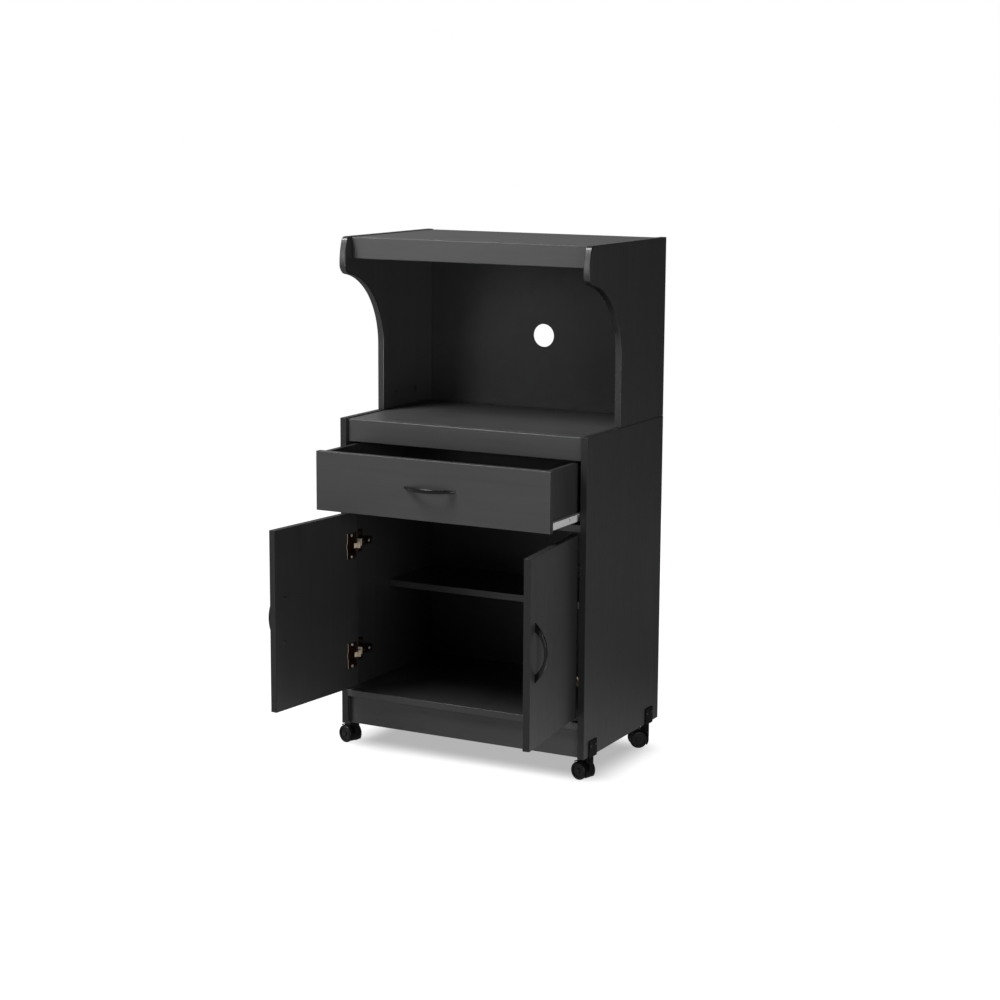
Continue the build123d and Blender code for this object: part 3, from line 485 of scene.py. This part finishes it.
def outline_edges(bm, smallest):
    """Sharp outward edges of a piece, without the rims of holes smaller than given."""
    sharp = [e for e in bm.edges if e.is_manifold and e.calc_face_angle() > SHARP_TURN]
    wide = set()
    for group in linked_groups(sharp):
        span = [max(v.co[i] for v in group) - min(v.co[i] for v in group) for i in range(3)]
        if max(span) > smallest:
            wide.update(group)
    return [e for e in sharp if e.is_convex and e.verts[0] in wide]


def eased(bm, ease, smallest=BOARD_OUTLINE):
    """A mesh with its outline edges rounded over, and the faces that the rounding made."""
    bmesh.ops.dissolve_limit(bm, angle_limit=FLAT_TURN, verts=bm.verts, edges=bm.edges)
    rounded = bmesh.ops.bevel(
        bm, geom=outline_edges(bm, smallest), offset=ease, offset_type="OFFSET", segments=EASE_STEPS,
        profile=0.5, affect="EDGES", clamp_overlap=True,
    )
    return bm, rounded["faces"]


def eased_piece(node, material, ease, smallest=BOARD_OUTLINE):
    """Piece of one material with its outline edges rounded over."""
    bm, _ = eased(welded(node), ease, smallest)
    stand_in(bm, node, material)


def edge_banded_panel(node, ease, strip):
    """Upright board with a plastic strip round its rim, up to the broad faces."""
    bm, _ = eased(welded(node), ease)
    for face in bm.faces:
        face.material_index = 0 if abs(face.normal.x) > BROAD_FACE else 1
    stand_in(bm, node, upright_laminate, strip)


def hinge_cups_piece(node):
    """Hinge cups in a dark copy of the nickel that paints their shade, with a painted highlight along the far edge
    of their flanges.
    """
    bm, rounded = eased(welded(node), STEEL_EASE, smallest=FITTING_OUTLINE)
    far_edge = min(v.co.y for v in bm.verts) + RIM_REACH
    for face in bm.faces:
        face.material_index = 1
    # Rounded faces along the flanges' far edge get the painted highlight, the rest the painted shade
    for face in rounded:
        face.material_index = int(face.calc_center_median().y > far_edge)
    stand_in(bm, node, painted_light_nickel, painted_shade_nickel)


def hinge_arms_piece():
    """Hinge arms in a pale copy of the nickel at their knuckles, a painted light, and in a dark copy further back,
    a painted shade.
    """
    bm, _ = eased(welded("hinge_arms"), STEEL_EASE, smallest=FITTING_OUTLINE)
    everything = bm.verts[:] + bm.edges[:] + bm.faces[:]
    bmesh.ops.bisect_plane(bm, geom=everything, plane_co=(0, ARM_PAINTED_SHADE_START, 0), plane_no=(0, 1, 0))
    # Faces in front of this cut get the painted light, those behind it the painted shade
    for face in bm.faces:
        face.material_index = int(face.calc_center_median().y > ARM_PAINTED_SHADE_START)
    stand_in(bm, "hinge_arms", painted_light_nickel, painted_shade_nickel)


def caster_hood_piece(corner):
    """Caster hood whose fender stops short of the rounded rims of the wheels."""
    node = f"{corner}_caster_hood"
    axle = joint_of[f"{corner}_wheel_spin"]
    middle, along = Vector(axle["pos_m"]), Vector(axle["axis"])
    bm = welded(node)
    for point in bm.verts:
        reach = (point.co - middle).dot(along)
        beyond = max(abs(reach) - FENDER_HALF, 0.0)
        point.co -= along * math.copysign(beyond, reach)
    bm, _ = eased(bm, PLASTIC_EASE, smallest=HOOD_OUTLINE)
    stand_in(bm, node, caster_plastic)


# Cross-head screws
def ring(bm, radius, height):
    """Circle of corners round the Z axis."""
    turns = [2 * math.pi * i / SCREW_STEPS for i in range(SCREW_STEPS)]
    return [bm.verts.new((radius * math.cos(t), radius * math.sin(t), height)) for t in turns]


def skin(bm, lower, upper):
    """Faces between two loops of as many corners."""
    count = len(lower)
    for i in range(count):
        j = (i + 1) % count
        bm.faces.new((lower[i], lower[j], upper[j], upper[i]))


def loop_edges(bm, corners):
    """Edges round a loop of corners."""
    pairs = zip(corners, corners[1:] + corners[:1])
    return [bm.edges.get(pair) or bm.edges.new(pair) for pair in pairs]


def cross_screw(seat, axis, head, height, shank, length):
    """Pan-head screw with a cross recess, its head standing on the seat and facing along the axis."""
    bm = bmesh.new()
    rings = [
        ring(bm, shank * SHANK_TIP, -length),
        ring(bm, shank, -length + shank),
        ring(bm, shank, 0.0),
        ring(bm, head, 0.0),
    ]
    rings += [ring(bm, head * out, height * up) for out, up in HEAD_DOME]
    bm.faces.new(reversed(rings[0]))
    for lower, upper in zip(rings, rings[1:]):
        skin(bm, lower, upper)
    arm, slit = head * CROSS_ARM, head * CROSS_SLIT
    quarter = [(arm, -slit), (arm, slit), (slit, slit)]
    outline = []
    for _ in range(4):
        outline += quarter
        quarter = [(-y, x) for x, y in quarter]
    lip = [bm.verts.new((x, y, height)) for x, y in outline]
    pit = [bm.verts.new((PIT_TAPER * x, PIT_TAPER * y, height * PIT_HEIGHT)) for x, y in outline]
    skin(bm, pit, lip)
    bm.faces.new(pit)
    bmesh.ops.triangle_fill(bm, edges=loop_edges(bm, rings[-1]) + loop_edges(bm, lip), use_beauty=True)
    bmesh.ops.recalc_face_normals(bm, faces=bm.faces)
    towards = Vector(axis).to_track_quat("Z", "Y").to_matrix().to_4x4()
    bmesh.ops.transform(bm, matrix=Matrix.Translation(seat) @ towards, verts=bm.verts)
    return bm


def joined(meshes):
    """Several finished meshes as one."""
    whole = bmesh.new()
    for bm in meshes:
        loose = bpy.data.meshes.new("loose")
        bm.to_mesh(loose)
        bm.free()
        whole.from_mesh(loose)
        bpy.data.meshes.remove(loose)
    return whole


def cross_screws_for(node):
    """Cross-head screws where a node has its plain ones, read from each solid's own corners."""
    bm = welded(node)
    screws = []
    for group in linked_groups(bm.edges):
        points = np.array([v.co for v in group])
        middle = points.mean(0)
        axis = np.linalg.svd(points - middle)[2][0]
        along = (points - middle) @ axis
        out = np.linalg.norm(points - middle - np.outer(along, axis), axis=1)
        wide = along[out > HEAD_RIM * out.max()]
        if wide.mean() < (along.min() + along.max()) / 2:
            axis, along, wide = -axis, -along, -wide
        shank = out[along < along.min() + TIP_REACH].max()
        seat = middle + axis * wide.min()
        height = wide.max() - wide.min()
        made = cross_screw(seat, axis, out.max(), height, shank, wide.min() - along.min())
        dark = node in DARK_SCREWS or (node == "fitting_screws" and seat[2] < RUNNER_LOW)
        for face in made.faces:
            face.material_index = int(dark)
        screws.append(made)
    bm.free()
    stand_in(joined(screws), node, nickel, dark_steel)


def hinge_adjusters():
    """Two adjusting screws on the open face of each hinge arm."""
    screws = []
    for side in (-1, 1):
        for height in HINGE_HEIGHTS:
            for dark, y in enumerate(ADJUSTER_PLACES):
                screw = cross_screw((side * ARM_FACE, y, height), (-side, 0, 0), *ADJUSTER_SIZE)
                for face in screw.faces:
                    face.material_index = dark
                screws.append(screw)
    mesh = bpy.data.meshes.new("hinge_adjusters")
    whole = joined(screws)
    whole.to_mesh(mesh)
    whole.free()
    mesh.materials.append(nickel)
    mesh.materials.append(dark_steel)
    piece = bpy.data.objects.new("hinge_adjusters", mesh)
    bpy.context.scene.collection.objects.link(piece)
    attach(piece, "cabinet")


for node, model in frame["nodes"].items():
    model.data.materials.clear()
    model.data.materials.append(FINISHES[slot_of[node]])
for node in LYING_BOARDS:
    eased_piece(node, lying_laminate, FASCIA_EASE if node.endswith("fascia") else BOARD_EASE)
# Worktop in the lighter copy of the laminate: painted light
eased_piece("worktop", painted_light_worktop_laminate, BOARD_EASE)
for node in UPRIGHT_BOARDS:
    edge_banded_panel(node, BOARD_EASE, dull_edge_strip)
for node in NOSE_BOARDS:
    edge_banded_panel(node, NOSE_EASE, gloss_edge_strip)
# Hinge plates wholly in the dark copy of the nickel: painted shade
eased_piece("hinge_plates", painted_shade_nickel, STEEL_EASE, smallest=FITTING_OUTLINE)
hinge_arms_piece()
for side in ("left", "right"):
    hinge_cups_piece(f"{side}_hinge_cups")
    # Hinge links in the pale copy of the nickel: painted light
    stand_in(welded(f"{side}_hinge_links"), f"{side}_hinge_links", painted_light_nickel)
for node in HANDLES:
    stand_in(welded(node), node, handle_gloss)
eased_piece("caster_brackets", caster_plastic, PLASTIC_EASE, smallest=BRACKET_OUTLINE)
for corner in CORNERS:
    caster_hood_piece(corner)
    stand_in(welded(f"{corner}_caster_wheels"), f"{corner}_caster_wheels", wheel_plastic)
for node in CROSS_SCREWS:
    cross_screws_for(node)
hinge_adjusters()


# Studio: white floor that keeps the cast shadow and adds a painted shade under the cabinet, white surroundings,
# soft boxes in front and behind
def studio_floor():
    """Wide white floor under the casters, with its cast shadow and a painted shade below the cabinet, and dimmer
    behind it in reflections.
    """
    bpy.ops.mesh.primitive_plane_add(size=FLOOR_SIZE, location=(0, 0, 0))
    floor = bpy.context.object
    floor.name = "studio_floor"
    material = bpy.data.materials.new("studio_floor")
    material.use_nodes = True
    tree = material.node_tree
    shader = tree.nodes["Principled BSDF"]
    shader.inputs["Base Color"].default_value = grey(FLOOR_SHADE)
    shader.inputs["Roughness"].default_value = FLOOR_ROUGHNESS
    shader.inputs["Specular IOR Level"].default_value = 0.0
    shader.inputs["Emission Color"].default_value = grey(1.0)
    where = place(tree, "ShaderNodeTexCoord").outputs["Object"]
    beyond = vector_of(tree, "SUBTRACT", vector_of(tree, "ABSOLUTE", where), FOOTPRINT_HALF)
    away = vector_of(tree, "LENGTH", vector_of(tree, "MAXIMUM", beyond), output="Value")
    # Painted shade: the floor's glow drops from white to the lower glow under the cabinet's footprint
    white = ramp(tree, away, 0.0, FOOTPRINT_FADE, PAINTED_SHADE_GLOW, 1.0, curve="SMOOTHSTEP")
    path = place(tree, "ShaderNodeLightPath").outputs
    seen = math_of(tree, "MULTIPLY", path["Is Camera Ray"], white)
    behind = vector_of(tree, "DOT_PRODUCT", where, (0.0, 1.0, 0.0), output="Value")
    brightness = ramp(tree, behind, *MIRROR_REACH, *FLOOR_MIRRORED)
    mirrored = math_of(tree, "MULTIPLY", path["Is Glossy Ray"], brightness)
    tree.links.new(math_of(tree, "ADD", seen, mirrored), shader.inputs["Emission Strength"])
    floor.data.materials.append(material)


def studio_surroundings():
    """Faint light from all round, none from the far right, brighter in reflections and white where seen."""
    world = bpy.data.worlds.new("studio")
    bpy.context.scene.world = world
    world.use_nodes = True
    tree = world.node_tree
    back = tree.nodes["Background"]
    back.inputs["Color"].default_value = grey(1.0)
    path = place(tree, "ShaderNodeLightPath").outputs
    direction = place(tree, "ShaderNodeTexCoord").outputs["Generated"]
    rightward = vector_of(tree, "DOT_PRODUCT", direction, (1.0, 0.0, 0.0), output="Value")
    share = ramp(tree, rightward, -DIMMING_TURN, DIMMING_TURN, 1.0, RIGHT_SHARE)
    mirrored = math_of(tree, "MULTIPLY", path["Is Glossy Ray"], MIRRORED - AMBIENT)
    falling = math_of(tree, "MULTIPLY", share, math_of(tree, "ADD", mirrored, AMBIENT))
    tree.links.new(math_of(tree, "MAXIMUM", path["Is Camera Ray"], falling), back.inputs["Strength"])


def soft_box(name, azimuth, elevation, distance, size, power):
    """Square soft box turned towards the cabinet; azimuth 0 is straight in front, positive to the right."""
    lamp = bpy.data.lights.new(name, "AREA")
    lamp.shape = "SQUARE"
    lamp.size = size
    lamp.energy = power
    box = bpy.data.objects.new(name, lamp)
    bpy.context.scene.collection.objects.link(box)
    az, el = math.radians(azimuth), math.radians(elevation)
    away = Vector((math.sin(az) * math.cos(el), -math.cos(az) * math.cos(el), math.sin(el)))
    box.location = STUDIO_MIDDLE + distance * away
    box.rotation_euler = away.to_track_quat("Z", "Y").to_euler()
    box.visible_camera = False
    return box


def studio_camera():
    """Camera at the photograph's own place and angle."""
    lens = bpy.data.cameras.new("camera")
    lens.lens = CAMERA_LENS
    lens.sensor_width = CAMERA_SENSOR
    lens.clip_end = CAMERA_REACH
    camera = bpy.data.objects.new("camera", lens)
    bpy.context.scene.collection.objects.link(camera)
    tilt = Matrix.Rotation(math.pi / 2 - CAMERA_PITCH, 4, "X")
    turn = Matrix.Rotation(CAMERA_YAW, 4, "Z")
    roll = Matrix.Rotation(CAMERA_ROLL, 4, "Z")
    camera.matrix_world = Matrix.Translation(CAMERA_PLACE) @ turn @ tilt @ roll
    bpy.context.scene.camera = camera


studio_floor()
studio_surroundings()
soft_box("key_soft_box", azimuth=-40.0, elevation=54.0, distance=2.3, size=0.9, power=75.0)
soft_box("fill_soft_box", azimuth=53.0, elevation=4.0, distance=2.3, size=0.9, power=23.0)
card = soft_box("white_card", azimuth=-28.0, elevation=16.0, distance=4.2, size=1.2, power=28.0)
card.visible_diffuse = False
back_box = soft_box("back_soft_box", azimuth=180.0, elevation=0.0, distance=3.2, size=0.9, power=85.0)
back_box.visible_glossy = False
studio_camera()
bpy.context.scene.view_settings.view_transform = "Standard"
